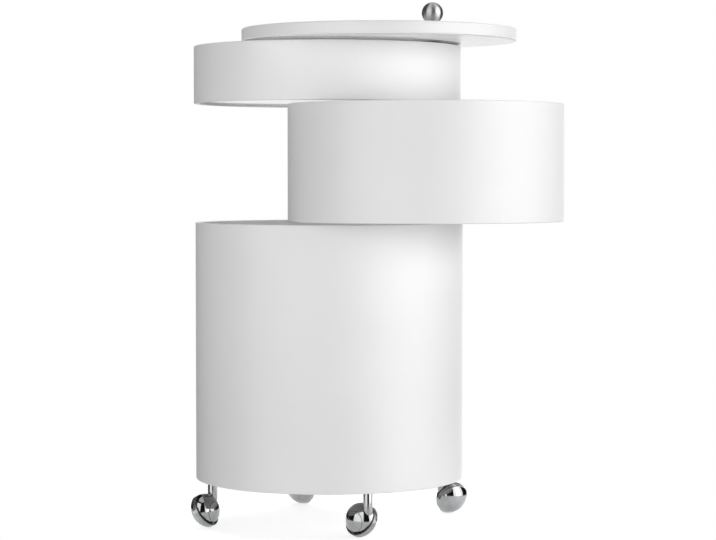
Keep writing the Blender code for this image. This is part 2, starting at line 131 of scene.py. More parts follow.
WHEEL_FLATS = 24  # sides of the solid wheel, whose flats rest on the floor
TREAD_RADIUS = WHEEL_RADIUS * math.cos(math.pi / WHEEL_FLATS)
TREAD_WIDTH = 0.008
TREAD_STEP = 0.0004
TREAD_GROOVES = (0.0024, 0.0049)  # places across the tread
TREAD_GROOVE_DEPTH = 0.00035
WHEEL_DOME = 0.0140
SHOULDER_WIDTH = 0.0009  # set back beside the gap
SHOULDER_STEP = 0.0012
HUB_RADIUS = 0.008
HOLLOW_DEPTH = 0.003
RIM_WALL = 0.0022

# How finely pieces are divided and how their edges are eased
DRUM_SIDES = 192
BALL_SIDES = 96
TUBE_SIDES = 48
ROUND_STEPS = 6
DOME_STEPS = 24
EASE = 0.0004
EASE_STEPS = 3
EASE_SHARE = 1 / 2.2  # most that one corner's easing takes of an edge
ROUND_PROFILE = 0.5
CORNER_ANGLE = math.radians(30)
SHARP_ANGLE = math.radians(40)
FLAT_ANGLE = math.radians(5)  # a face tilted less than this counts as level
AXIS_MERGE = 0.00001
POINT_MERGE = EASE / 8
ON_FLAT = EASE / 20  # a point this near to a flat lies on it
CUT_REACH = 3  # how far a cutter goes on above a board, in thicknesses of it

UP = Vector((0.0, 0.0, 1.0))
LEVEL = Vector((1.0, 0.0, 0.0))  # across a caster's hood, in the caster's own frame
JOINTS = {joint["name"]: joint for joint in frame["joints"]}


# Shapes


def arc(centre, radius, start, end, steps=ROUND_STEPS):
    """Points (radius, height) on an arc in an outline, between two angles in degrees."""
    points = []
    for step in range(steps + 1):
        angle = math.radians(start + (end - start) * step / steps)
        points.append((centre[0] + radius * math.cos(angle), centre[1] + radius * math.sin(angle)))
    return points


def dome(base_radius, depth, steps=DOME_STEPS):
    """Points (radius, height) over a round dome, from its crown down to its rim at height 0."""
    ball = (base_radius**2 + depth**2) / (2 * depth)
    half_angle = math.atan2(base_radius, ball - depth)
    points = []
    for step in range(steps + 1):
        angle = half_angle * step / steps
        points.append((ball * math.sin(angle), ball * math.cos(angle) - (ball - depth)))
    return points


def eased(outline):
    """The outline with its corners rounded off, but for its ends on the axis."""
    ring = outline[0][0] > 0
    points = [Vector(point) for point in outline]
    last = len(points) - 1
    smooth = []
    for index, corner in enumerate(points):
        to_before = points[index - 1] - corner
        to_after = points[0 if index == last else index + 1] - corner
        at_end = not ring and index in (0, last)
        if at_end or (-to_before).angle(to_after) < CORNER_ANGLE:
            smooth.append(corner)
            continue
        room = min(EASE, to_before.length * EASE_SHARE, to_after.length * EASE_SHARE)
        start = corner + to_before.normalized() * room
        end = corner + to_after.normalized() * room
        for step in range(EASE_STEPS + 1):
            share = step / EASE_STEPS
            smooth.append(start.lerp(corner, share).lerp(corner.lerp(end, share), share))
    return [tuple(point) for point in smooth]


def settle(piece):
    """Makes what the piece's modifiers give its own mesh."""
    bpy.context.view_layer.update()
    graph = bpy.context.evaluated_depsgraph_get()
    mesh = bpy.data.meshes.new_from_object(piece.evaluated_get(graph))
    piece.modifiers.clear()
    piece.data = mesh


def new_object(name, mesh, matrix):
    piece = bpy.data.objects.new(name, mesh)
    bpy.context.scene.collection.objects.link(piece)
    piece.matrix_world = matrix
    return piece


def turned(name, outline, sides, matrix=Matrix()):
    """A piece turned about its own Z from (radius, height) points that run down its outer side.

    An outline that starts and ends on the axis makes a solid, any other is closed into a ring.
    """
    count = len(outline)
    ring = outline[0][0] > 0
    edges = [(index, (index + 1) % count) for index in range(count if ring else count - 1)]
    mesh = bpy.data.meshes.new(name)
    mesh.from_pydata([(radius, 0.0, height) for radius, height in outline], edges, [])
    piece = new_object(name, mesh, matrix)
    screw = piece.modifiers.new("Turn", "SCREW")
    screw.steps = sides
    screw.render_steps = sides
    screw.use_merge_vertices = True
    screw.merge_threshold = AXIS_MERGE
    settle(piece)
    return piece


def cylinder(name, radius, low, high, sides, matrix=Matrix()):
    """A plain round cutter between two heights."""
    return turned(name, [(0.0, high), (radius, high), (radius, low), (0.0, low)], sides, matrix)


def cut(piece, *cutters):
    for cutter in cutters:
        boolean = piece.modifiers.new(cutter.name, "BOOLEAN")
        boolean.operation = "DIFFERENCE"
        boolean.object = cutter
    settle(piece)


def remove(*pieces):
    for piece in pieces:
        bpy.data.objects.remove(piece, do_unlink=True)


def at(place, direction=UP):
    """A matrix that puts a turned piece's axis at a place, along a direction."""
    return Matrix.Translation(place) @ direction.to_track_quat("Z", "Y").to_matrix().to_4x4()


def middle(node):
    """The middle of a node's foot."""
    low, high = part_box(node)
    return Vector(((low.x + high.x) / 2, (low.y + high.y) / 2, low.z))


def height_of(node):
    low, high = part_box(node)
    return high.z - low.z


def radius_of(node):
    """The largest circle inside a round node's box."""
    low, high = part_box(node)
    return min(high.x - low.x, high.y - low.y) / 2


# Finishes

WHITE_TONES = ((0.852, 0.853, 0.854), (0.872, 0.872, 0.871))
NOISE_LOW = 0.3  # limits of the middle part of the noise, which nearly all of it lies in
NOISE_HIGH = 0.7


def node_tree(material):
    material.use_nodes = True
    return material.node_tree


def add(tree, kind, **values):
    """A new shader node with the named inputs set."""
    node = tree.nodes.new(kind)
    for name, value in values.items():
        node.inputs[name.replace("_", " ")].default_value = value
    return node


def noise(tree, scale, detail=2.0):
    """Soft noise over the piece, with about that many grains to the metre."""
    place = tree.nodes.new("ShaderNodeTexCoord")
    texture = add(tree, "ShaderNodeTexNoise", Scale=scale, Detail=detail)
    tree.links.new(place.outputs["Object"], texture.inputs["Vector"])
    return texture.outputs["Fac"]


def spread(tree, value, low, high):
    """The noise's middle part stretched between two numbers."""
    stretch = add(
        tree, "ShaderNodeMapRange", From_Min=NOISE_LOW, From_Max=NOISE_HIGH, To_Min=low, To_Max=high
    )
    tree.links.new(value, stretch.inputs["Value"])
    return stretch.outputs["Result"]


def tint(tree, value, dark, light):
    """A colour that wanders between two tones with the noise."""
    ramp = tree.nodes.new("ShaderNodeValToRGB")
    low, high = ramp.color_ramp.elements
    low.position = NOISE_LOW
    low.color = (*dark, 1.0)
    high.position = NOISE_HIGH
    high.color = (*light, 1.0)
    tree.links.new(value, ramp.inputs["Fac"])
    return ramp.outputs["Color"]


def bump(tree, shader, value, strength, depth):
    relief = add(tree, "ShaderNodeBump", Strength=strength, Distance=depth)
    tree.links.new(value, relief.inputs["Height"])
    tree.links.new(relief.outputs["Normal"], shader.inputs["Normal"])


def finish(name, tones, tone_scale, roughness, roughness_scale, metallic=0.0):
    """A Principled material with a wandering colour and roughness. Gives its tree and shader too."""
    material = bpy.data.materials.new(name)
    tree = node_tree(material)
    shader = tree.nodes["Principled BSDF"]
    shader.inputs["Metallic"].default_value = metallic
    colour = tint(tree, noise(tree, tone_scale), *tones)
    tree.links.new(colour, shader.inputs["Base Color"])
    gloss = spread(tree, noise(tree, roughness_scale), *roughness)
    tree.links.new(gloss, shader.inputs["Roughness"])
    return material, tree, shader


def lacquer_finish():
    """Sprayed white lacquer, rubbed to a satin, with the faint ripple that spraying leaves."""
    material, tree, shader = finish(
        "white_lacquer", WHITE_TONES, tone_scale=9.0, roughness=(0.32, 0.38), roughness_scale=60.0
    )
    shader.inputs["Specular IOR Level"].default_value = 0.24
    bump(tree, shader, noise(tree, 700.0, detail=3.0), strength=0.06, depth=0.0002)
    return material


def laminate_finish():
    """The smooth white facing of the drums' floors and of the lid's underside."""
    material, tree, shader = finish(
        "white_laminate", WHITE_TONES, tone_scale=14.0, roughness=(0.05, 0.08), roughness_scale=40.0
    )
    bump(tree, shader, noise(tree, 240.0), strength=0.01, depth=0.0001)
    return material


def chrome_finish():
    """Polished chrome with a faint haze."""
    tones = ((0.31, 0.313, 0.317), (0.36, 0.363, 0.367))
    material, tree, shader = finish(
        "chrome", tones, tone_scale=120.0, roughness=(0.07, 0.13), roughness_scale=260.0, metallic=1.0
    )
    bump(tree, shader, noise(tree, 420.0), strength=0.02, depth=0.0002)
    return material


def turned_finish():
    """Chrome over fine turning marks round the axis, which draw reflections out along it."""
    tones = ((0.40, 0.403, 0.407), (0.45, 0.453, 0.457))
    material, tree, shader = finish(
        "turned_chrome", tones, tone_scale=120.0, roughness=(0.31, 0.37), roughness_scale=260.0,
        metallic=0.9,
    )
    shader.inputs["Anisotropic"].default_value = 0.95
    shader.inputs["Anisotropic Rotation"].default_value = 0.25
    around = tree.nodes.new("ShaderNodeTangent")
    around.direction_type = "RADIAL"
    around.axis = "Z"
    tree.links.new(around.outputs["Tangent"], shader.inputs["Tangent"])
    return material


def steel_finish():
    """Plain turned steel with fine rings round each piece's own axis."""
    tones = ((0.40, 0.40, 0.41), (0.50, 0.50, 0.51))
    material, tree, shader = finish(
        "plain_steel", tones, tone_scale=300.0, roughness=(0.28, 0.40), roughness_scale=500.0,
        metallic=1.0,
    )
    rings = add(tree, "ShaderNodeTexWave", Scale=900.0, Distortion=0.6)
    rings.wave_type = "RINGS"
    rings.rings_direction = "Z"
    place = tree.nodes.new("ShaderNodeTexCoord")
    tree.links.new(place.outputs["Object"], rings.inputs["Vector"])
    bump(tree, shader, rings.outputs["Fac"], strength=0.15, depth=0.0001)
    return material


def nylon_finish():
    """Matt black nylon."""
    tones = ((0.022, 0.022, 0.023), (0.036, 0.036, 0.037))
    material, tree, shader = finish(
        "black_nylon", tones, tone_scale=400.0, roughness=(0.42, 0.58), roughness_scale=300.0
    )
    bump(tree, shader, noise(tree, 1500.0), strength=0.2, depth=0.0001)
    return material


FINISHES = {
    "lacquer": lacquer_finish(),
    "laminate": laminate_finish(),
    "chrome": chrome_finish(),
    "turned": turned_finish(),
    "steel": steel_finish(),
    "nylon": nylon_finish(),
}


def dress(piece, node, slot, look=None):
    """Finishes a piece that stands for a node and rides on that node's body.

    Its look is its slot's own, unless another is named. Steel keeps its own axis, which its turned
    rings go round.
    """
    if slot != "steel":
        piece.data.transform(piece.matrix_world)
        piece.matrix_world = Matrix()
    piece.data.materials.clear()
    piece.data.materials.append(FINISHES[look or slot])
    piece.data.shade_smooth()
    piece.data.set_sharp_from_angle(angle=SHARP_ANGLE)
    shading = piece.modifiers.new("Even shading", "WEIGHTED_NORMAL")
    shading.keep_sharp = True
    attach(piece, frame["nodes"][node]["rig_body"])
    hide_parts(node)


# Drums, lid and ball


def eased_piece(node, outline, sides=TUBE_SIDES):
    """A turned piece with eased corners, standing where its node stands."""
    return turned(f"fine_{node}", eased(outline), sides, at(middle(node)))


def tube_hole(board, node, height):
    """Cuts the hole for the sleeve or bush that goes through a board of that height."""
    low, high = -height, CUT_REACH * height
    hole = cylinder("tube_hole", SLEEVE_RADIUS + SEAT_GAP, low, high, TUBE_SIDES, at(middle(node)))
    cut(board, hole)
    remove(hole)


def screw_holes(name, piece):
    """Cuts the holes for a flange's screws."""
    holes = []
    for number in SCREW_NUMBERS:
        node = f"{name}_screw_{number}"
        radius = SCREW_RADIUS + SEAT_GAP
        place = at(middle(node))
        holes.append(cylinder("screw_hole", radius, 0.0, height_of(node), TUBE_SIDES, place))
    cut(piece, *holes)
    remove(*holes)


def build_shell(name):
    """A drum's wall with rounded rims and, inside, the groove that the floor sits in."""
    node = f"{name}_shell"
    radius = radius_of(node)
    height = height_of(node)
    floor_low, floor_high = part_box(f"{name}_floor")
    foot = middle(node)
    bore = radius - SHELL_WALL
    outer = radius - RIM_ROUND
    inner = bore + RIM_ROUND
    groove_low = floor_low.z - foot.z - SEAT_GAP
    groove_high = floor_high.z - foot.z + SEAT_GAP
    outline = [
        *arc((inner, height - RIM_ROUND), RIM_ROUND, 180, 90),
        *arc((outer, height - RIM_ROUND), RIM_ROUND, 90, 0),
        *arc((outer, RIM_ROUND), RIM_ROUND, 0, -90),
        *arc((inner, RIM_ROUND), RIM_ROUND, -90, -180),
        (bore, groove_low),
        (bore + GROOVE_DEPTH, groove_low),
        (bore + GROOVE_DEPTH, groove_high),
        (bore, groove_high),
    ]
    dress(turned(f"fine_{node}", outline, DRUM_SIDES, at(foot)), node, "lacquer")


def keep_floor(node):
    """A floor that stays as it is, faced with laminate."""
    piece = frame["nodes"][node]
    piece.data.materials.clear()
    piece.data.materials.append(FINISHES["laminate"])


def build_drum_floor(name):
    """A swinging drum's floor with its facing, and the holes for the sleeve and the screws."""
    node = f"{name}_floor"
    radius = radius_of(node)
    height = height_of(node)
    facing_radius = radius_of(f"{name}_shell") - SHELL_WALL - SEAT_GAP
    outline = [
        (0.0, height),
        (radius, height),
        (radius, 0.0),
        (facing_radius, 0.0),
        (facing_radius, -FLOOR_FACING),
        (0.0, -FLOOR_FACING),
    ]
    board = eased_piece(node, outline, DRUM_SIDES)
    tube_hole(board, f"{name}_sleeve", height)
    screw_holes(name, board)
    dress(board, node, "lacquer", "laminate")


def recess_bar(top, turn):
    """A bar that cuts half of the cross in a screw's head, whose top is its middle."""
    mesh = bpy.data.meshes.new("recess")
    shape = bmesh.new()
    bmesh.ops.create_cube(shape, size=1.0)
    shape.to_mesh(mesh)
    shape.free()
    size = Matrix.Diagonal((RECESS_LENGTH, RECESS_WIDTH, 2 * RECESS_DEPTH, 1.0))
    return new_object("recess", mesh, at(top) @ Matrix.Rotation(turn, 4, "Z") @ size)


def build_screws(name):
    """The round-headed screws round a flange, each with a cross in its head."""
    for number in SCREW_NUMBERS:
        node = f"{name}_screw_{number}"
        length = height_of(node) - SCREW_HEAD_HEIGHT
        outline = [
            *dome(SCREW_HEAD_RADIUS, SCREW_HEAD_HEIGHT, ROUND_STEPS),
            (SCREW_RADIUS, 0.0),
            (SCREW_RADIUS, SCREW_RADIUS - length),
            (0.0, -length),
        ]
        head = middle(node) + UP * length
        screw = turned(f"fine_{node}", eased(outline), TUBE_SIDES, at(head))
        bars = [recess_bar(head + UP * SCREW_HEAD_HEIGHT, turn) for turn in (0.0, math.pi / 2)]
        cut(screw, *bars)
        remove(*bars)
        dress(screw, node, "steel")


def build_column():
    """The base's tube round the rod, with a closed foot and a flange."""
    node = "base_column"
    height = height_of(node)
    outline = [
        (0.0, COLUMN_FOOT),
        (SLEEVE_BORE, COLUMN_FOOT),
        (SLEEVE_BORE, height),
        (SLEEVE_RADIUS, height),
        (SLEEVE_RADIUS, FLANGE_THICKNESS),
        (FLANGE_RADIUS, FLANGE_THICKNESS),
        (FLANGE_RADIUS, 0.0),
        (0.0, 0.0),
    ]
    column = eased_piece(node, outline)
    screw_holes("base", column)
    dress(column, node, "chrome")


def build_sleeve(name):
    """A swinging drum's tube round the rod, with its flange on the floor."""
    node = f"{name}_sleeve"
    height = height_of(node)
    flange_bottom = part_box(f"{name}_floor")[1].z + SEAT_GAP - middle(node).z
    flange_top = flange_bottom + FLANGE_THICKNESS
    outline = [
        (SLEEVE_BORE, height),
        (SLEEVE_RADIUS, height),
        (SLEEVE_RADIUS, flange_top),
        (FLANGE_RADIUS, flange_top),
        (FLANGE_RADIUS, flange_bottom),
        (SLEEVE_RADIUS, flange_bottom),
        (SLEEVE_RADIUS, 0.0),
        (SLEEVE_BORE, 0.0),
    ]
    sleeve = eased_piece(node, outline)
    screw_holes(name, sleeve)
    dress(sleeve, node, "chrome")


def build_ring(node, bore, radius, slot):
    """A plain washer with eased edges."""
    height = height_of(node)
    outline = [(bore, height), (radius, height), (radius, 0.0), (bore, 0.0)]
    dress(eased_piece(node, outline), node, slot)


def build_rod():
    node = "pivot_rod"
    height = height_of(node)
    outline = [(0.0, height), (ROD_RADIUS, height), (ROD_RADIUS, 0.0), (0.0, 0.0)]
    dress(eased_piece(node, outline), node, "steel")


def build_lid():
    """The lid with its facing, which is smoother than the rest, and the hole for its bush."""
    node = "lid"
    height = height_of(node)
    edge = radius_of(node) - LID_ROUND
    outline = [
        (0.0, height),
        *arc((edge, height - LID_ROUND), LID_ROUND, 90, 0),
        *arc((edge, LID_ROUND - LID_FACING), LID_ROUND, 0, -90),
        (0.0, -LID_FACING),
    ]
    lid = turned(f"fine_{node}", outline, DRUM_SIDES, at(middle(node)))
    tube_hole(lid, "lid_bush", height)
    dress(lid, node, "lacquer")
    lid.data.materials.append(FINISHES["laminate"])
    for face in lid.data.polygons:
        if face.normal.z < -math.cos(FLAT_ANGLE):
            face.material_index = 1


def build_bush():
    """The lid's tube round the rod, with its flange on top."""
    node = "lid_bush"
    height = height_of(node)
    flange_bottom = height - BUSH_FLANGE_THICKNESS
    outline = [
        (SLEEVE_BORE, height),
        (BUSH_FLANGE_RADIUS, height),
        (BUSH_FLANGE_RADIUS, flange_bottom),
        (SLEEVE_RADIUS, flange_bottom),
        (SLEEVE_RADIUS, 0.0),
        (SLEEVE_BORE, 0.0),
    ]
    dress(eased_piece(node, outline), node, "chrome")


def build_ball():
    """The ball on its short neck, bored for the rod."""
    node = "ball_knob"
    centre = height_of(node) - BALL_RADIUS
    neck_angle = math.degrees(math.asin(NECK_RADIUS / BALL_RADIUS))
    bore = ROD_RADIUS + SEAT_GAP
    outline = [
        (0.0, centre + BALL_RADIUS),
        *arc((0.0, centre), BALL_RADIUS, 90, neck_angle - 90, 2 * DOME_STEPS)[1:],
        (NECK_RADIUS, NECK_FOOT_HEIGHT + SLEEVE_RADIUS - NECK_RADIUS),
        (SLEEVE_RADIUS, NECK_FOOT_HEIGHT),
        (SLEEVE_RADIUS, 0.0),
        (bore, 0.0),
        (bore, centre + SEAT_GAP),
        (0.0, centre + SEAT_GAP),
    ]
    dress(eased_piece(node, outline, BALL_SIDES), node, "chrome", "turned")


# Casters


def wheel_outline():
    """Along the axle, with the gap's middle at height 0 and the wheel below it."""
    face = -CASTER_GAP / 2
    bore = AXLE_RADIUS + RUNNING_GAP
    bore_end = face - AXLE_WHEEL_BITE - SEAT_GAP
    hollow = face - HOLLOW_DEPTH
    rim_bore = TREAD_RADIUS - RIM_WALL
    tread_end = face - TREAD_WIDTH
    shoulder = TREAD_RADIUS - SHOULDER_STEP
    grooves = []
    for place in TREAD_GROOVES:
        grooves += [
            (TREAD_RADIUS, face - place + TREAD_GROOVE_DEPTH),
            (TREAD_RADIUS - TREAD_GROOVE_DEPTH, face - place),
            (TREAD_RADIUS, face - place - TREAD_GROOVE_DEPTH),
        ]
    crown = dome(TREAD_RADIUS - TREAD_STEP, WHEEL_DOME)
    return [
        (0.0, bore_end),
        (bore, bore_end),
        (bore, face),
        (HUB_RADIUS, face),
        (HUB_RADIUS, hollow),
        (rim_bore, hollow),
        (rim_bore, face - SHOULDER_WIDTH / 2),
        (rim_bore, face),
        (shoulder, face),
        (shoulder, face - SHOULDER_WIDTH),
        (TREAD_RADIUS, face - SHOULDER_WIDTH),
        *grooves,
        (TREAD_RADIUS, tread_end),
        *[(radius, tread_end - height) for radius, height in reversed(crown)],
    ]


def hood_flank():
    """Points on the hood from the flat that the cap sits on to the hood's widest part."""
    seat_angle = math.acos((CAP_RADIUS + CAP_SHOULDER) / HOOD_RADIUS)
    points = []
    for step in range(DOME_STEPS + 1):
        angle = seat_angle * (1 - step / DOME_STEPS)
        points.append((HOOD_RADIUS * math.cos(angle), HOOD_DOME * math.sin(angle)))
    return points


def hood_outline():
    """A ball, flatter on the cap's side, with a hole there for the cap's boss."""
    flank = hood_flank()
    seat = flank[0][1]
    hole = CAP_BOSS_RADIUS + SEAT_GAP
    hole_bottom = seat - CAP_BOSS_DEPTH - SEAT_GAP
    return [
        (0.0, hole_bottom),
        (hole, hole_bottom),
        (hole, seat),
        *flank,
        *arc((0.0, 0.0), HOOD_RADIUS, 0, -90, DOME_STEPS)[1:-1],
        (0.0, -HOOD_RADIUS),
    ]


def cap_outline():
    """A low dome on a thin edge, with the boss that goes into the hood."""
    flat = hood_flank()[0][1]
    seat = flat + SEAT_GAP
    edge = seat + CAP_EDGE
    crown = [(radius, edge + height) for radius, height in dome(CAP_RADIUS, CAP_DOME, ROUND_STEPS)]
    return [
        *crown,
        (CAP_RADIUS, seat),
        (CAP_BOSS_RADIUS, seat),
        (CAP_BOSS_RADIUS, flat - CAP_BOSS_DEPTH),
        (0.0, flat - CAP_BOSS_DEPTH),
    ]


def stem_outline(height, pintle):
    """A stem of that height with the pintle that goes up into its socket."""
    return [
        (0.0, height + pintle),
        (PINTLE_RADIUS, height + pintle),
        (PINTLE_RADIUS, height),
        (STEM_RADIUS, height),
        (STEM_RADIUS, 0.0),
        (0.0, 0.0),
    ]


def socket_outline(height):
    return [
        (SOCKET_BORE, height),
        (SOCKET_RADIUS, height),
        (SOCKET_RADIUS, SOCKET_FLANGE_THICKNESS),
        (SOCKET_FLANGE_RADIUS, SOCKET_FLANGE_THICKNESS),
        (SOCKET_FLANGE_RADIUS, 0.0),
        (SOCKET_BORE, 0.0),
    ]


def round_lip(hood, axle_line):
    """Rounds the hood's outer edge along the gap, where it meets the flat that faces the wheel."""
    to_axle = axle_line.inverted() @ hood.matrix_world
    shape = bmesh.new()
    shape.from_mesh(hood.data)
    bmesh.ops.remove_doubles(shape, verts=shape.verts, dist=POINT_MERGE)
    lip = []
    for edge in shape.edges:
        ends = [to_axle @ vertex.co for vertex in edge.verts]
        on_flat = all(abs(end.z - CASTER_GAP / 2) < ON_FLAT for end in ends)
        outside = all(end.xy.length > HUB_RADIUS for end in ends)
        if on_flat and outside and edge.calc_face_angle(0.0) > CORNER_ANGLE:
            lip.append(edge)
    bmesh.ops.bevel(
        shape, geom=lip, offset=HOOD_LIP, segments=EASE_STEPS, profile=ROUND_PROFILE,
        affect="EDGES", clamp_overlap=True,
    )
    shape.to_mesh(hood.data)
    shape.free()


def paint_gap_shade(piece, gap, axle):
    """Paints shade into the gap between hood and wheel: the faces there get matt black nylon as
    painted shade.
    """
    piece.data.materials.append(FINISHES["nylon"])
    reach = CASTER_GAP / 2 + SHOULDER_WIDTH + ON_FLAT
    for face in piece.data.polygons:
        arm = face.center - gap
        along = arm.dot(axle)
        out = (arm - along * axle).length
        if abs(along) < reach and out < TREAD_RADIUS - EASE:
            face.material_index = 1


def caster_shapes(name, caster, gap_middle, axle):
    """The six pieces of a caster, each with its finish, standing in the caster's own frame."""
    own = caster.inverted()
    axle = own.to_3x3() @ axle
    gap = own @ gap_middle
    axle_line = at(gap, axle)
    hood_middle = gap - GAP_OFFSET * axle
    hood_line = at(hood_middle, LEVEL)

    socket_low, socket_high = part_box(f"{name}_socket")
    stem_low = hood_middle.z + STEM_SEAT_HEIGHT
    stem_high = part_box(f"{name}_stem")[1].z
    shoulder = socket_low.z - SEAT_GAP
    stem_points = stem_outline(shoulder - stem_low, stem_high - shoulder)
    stem = turned("stem", eased(stem_points), TUBE_SIDES, at((0.0, 0.0, stem_low)))
    hood = turned("hood", eased(hood_outline()), BALL_SIDES, hood_line)
    cap = turned("cap", eased(cap_outline()), BALL_SIDES, hood_line)
    socket_points = socket_outline(socket_high.z - socket_low.z)
    socket = turned("socket", eased(socket_points), TUBE_SIDES, at((0.0, 0.0, socket_low.z)))
    wheel = turned("wheel", eased(wheel_outline()), BALL_SIDES, axle_line)
    face = CASTER_GAP / 2
    pin_low = -face - AXLE_WHEEL_BITE
    pin_high = face + AXLE_HOOD_BITE
    pin_points = [(0.0, pin_high), (AXLE_RADIUS, pin_high), (AXLE_RADIUS, pin_low), (0.0, pin_low)]
    pin = turned("axle", eased(pin_points), TUBE_SIDES, axle_line)

    reach = 2 * HOOD_RADIUS
    wheel_space = cylinder("wheel_space", reach, -reach, face, BALL_SIDES, axle_line)
    axle_hole = cylinder(
        "axle_hole", AXLE_RADIUS + SEAT_GAP, -face, pin_high + SEAT_GAP, TUBE_SIDES, axle_line
    )
    stem_hole = cylinder(
        "stem_hole", STEM_RADIUS + SEAT_GAP, stem_low - SEAT_GAP, stem_high, TUBE_SIDES
    )
    cut(hood, wheel_space)
    round_lip(hood, axle_line)
    cut(hood, axle_hole, stem_hole)
    cut(stem, wheel_space)
    remove(wheel_space, axle_hole, stem_hole)
    return {
        "socket": (socket, "steel"),
        "stem": (stem, "chrome"),
        "hood": (hood, "chrome"),
        "cap": (cap, "chrome"),
        "axle": (pin, "steel"),
        "wheel": (wheel, "chrome"),
    }


def build_casters(names):
    """All casters, from one set of shapes made in the first one's own frame.

    That frame stands on the floor under the stem, with X along the axle's level direction.
    """
    shapes = None
    for name in names:
        swivel = Vector(JOINTS[f"{name}_swivel"]["pos_m"])
        roll = JOINTS[f"{name}_roll"]
        gap = Vector(roll["pos_m"])
        axle = Vector(roll["axis"])
        heading = math.atan2(axle.y, axle.x)
        caster = Matrix.Translation((swivel.x, swivel.y, 0.0)) @ Matrix.Rotation(heading, 4, "Z")
        if shapes is None:
            shapes = caster_shapes(name, caster, gap, axle)
        for part, (shape, slot) in shapes.items():
            node = f"{name}_{part}"
            piece = new_object(f"fine_{node}", shape.data.copy(), caster @ shape.matrix_world)
            dress(piece, node, slot)
            # The faces in the gap of hood and wheel get black nylon as painted shade
            if part in ("hood", "wheel"):
                paint_gap_shade(piece, gap, axle)
    remove(*[shape for shape, _ in shapes.values()])


# Studio and camera

WHITE = (1.0, 1.0, 1.0, 1.0)
FLOOR_RADIUS = 0.40
FLOOR_FADE = 0.26  # distance from the middle where it starts to fade to plain white
FLOOR_SIDES = 96
FLOOR_TONE = (0.80, 0.80, 0.80)
FLOOR_ROUGHNESS = 0.9
FLOOR_GLOW = 0.62  # share of white that the floor shows to the camera and in the chrome
AMBIENT_ABOVE = 0.16  # soft light from the sky half and from the floor half
AMBIENT_BELOW = 0.41
HORIZON_BLEND = 0.1

# Name, degrees round from the camera to its right, distance, middle's height, upward tilt in
# degrees, width, height and radiance of each softbox
LAMPS = (
    ("left_softbox", -42.0, 2.2, 0.45, 0.0, 2.3, 0.9, 2.7),
    ("right_softbox", 73.0, 2.2, 0.70, 0.0, 3.4, 1.1, 3.25),
    ("front_softbox", 15.0, 3.0, 0.8, 0.0, 1.4, 0.9, 3.5),
    ("back_softbox", -170.0, 2.4, 0.7, 0.0, 2.4, 1.2, 2.5),
    ("ceiling", 180.0, 1.5, 2.9, -62.0, 3.0, 3.0, 2.6),
)

# The walls go round from the camera to its right, in degrees, but for an opening behind the cabinet
WALL_FIRST = -168.0
WALL_LAST = 150.0
WALL_STEP = 5.0
WALL_RADIUS = 5.0
WALL_TONE = (0.03, 0.03, 0.03)
WALL_LEVELS = (-7.0, -1.8, 6.0, 9.0)  # heights that part the wall into rows
FRONT_ROW = 1  # row that the softboxes' fronts are in

# Where the softboxes show in the chrome: first and last degree round from the camera, radiance
SOFTBOX_FRONTS = ((-71.0, -14.0, 2.05), (31.0, 50.0, 2.5), (50.0, 78.0, 4.25), (78.0, 97.0, 2.5))

CAMERA_LENS = 113.1
CAMERA_SENSOR = 36.0
CAMERA_SIDE = 0.04108  # from the base drum's axis
CAMERA_DISTANCE = 3.2068
CAMERA_HEIGHT = 0.4948
CAMERA_DROP = 2.44  # degrees below level


def level_direction(turn):
    """The level direction from the cabinet that many degrees round from the camera to its right."""
    angle = math.radians(turn - 90)
    return Vector((math.cos(angle), math.sin(angle), 0.0))


def seen(tree):
    """1 for what the camera sees, straight, in a mirror or through glass, and 0 for soft light."""
    path = tree.nodes.new("ShaderNodeLightPath")
    result = path.outputs["Is Camera Ray"]
    for name in ("Is Glossy Ray", "Is Transmission Ray"):
        either = tree.nodes.new("ShaderNodeMath")
        either.operation = "MAXIMUM"
        tree.links.new(result, either.inputs[0])
        tree.links.new(path.outputs[name], either.inputs[1])
        result = either.outputs["Value"]
    return result


def build_world():
    """White behind the cabinet, and plain soft light from above and from the floor all round."""
    world = bpy.data.worlds.new("studio")
    bpy.context.scene.world = world
    world.use_nodes = True
    tree = world.node_tree
    soft = tree.nodes["Background"]
    soft.inputs["Color"].default_value = WHITE
    direction = tree.nodes.new("ShaderNodeTexCoord")
    split = tree.nodes.new("ShaderNodeSeparateXYZ")
    level = add(
        tree, "ShaderNodeMapRange", From_Min=-HORIZON_BLEND, From_Max=HORIZON_BLEND,
        To_Min=AMBIENT_BELOW, To_Max=AMBIENT_ABOVE,
    )
    tree.links.new(direction.outputs["Generated"], split.inputs["Vector"])
    tree.links.new(split.outputs["Z"], level.inputs["Value"])
    tree.links.new(level.outputs["Result"], soft.inputs["Strength"])
    white = add(tree, "ShaderNodeBackground", Color=WHITE, Strength=1.0)
    mix = tree.nodes.new("ShaderNodeMixShader")
    tree.links.new(seen(tree), mix.inputs["Fac"])
    tree.links.new(soft.outputs["Background"], mix.inputs[1])
    tree.links.new(white.outputs["Background"], mix.inputs[2])
    tree.links.new(mix.outputs["Shader"], tree.nodes["World Output"].inputs["Surface"])


def distance_share(tree, near, far):
    """0 up to a distance from the floor's middle, rising smoothly to 1 at another."""
    place = tree.nodes.new("ShaderNodeTexCoord")
    length = tree.nodes.new("ShaderNodeVectorMath")
    length.operation = "LENGTH"
    share = add(tree, "ShaderNodeMapRange", From_Min=near, From_Max=far)
    share.interpolation_type = "SMOOTHSTEP"
    tree.links.new(place.outputs["Object"], length.inputs[0])
    tree.links.new(length.outputs["Value"], share.inputs["Value"])
    return share.outputs["Result"]


def matt(name, tone, roughness):
    """A plain matt material for the studio. Gives its tree and shader too."""
    material = bpy.data.materials.new(name)
    tree = node_tree(material)
    shader = tree.nodes["Principled BSDF"]
    shader.inputs["Base Color"].default_value = (*tone, 1.0)
    shader.inputs["Roughness"].default_value = roughness
    shader.inputs["Specular IOR Level"].default_value = 0.0
    return material, tree, shader


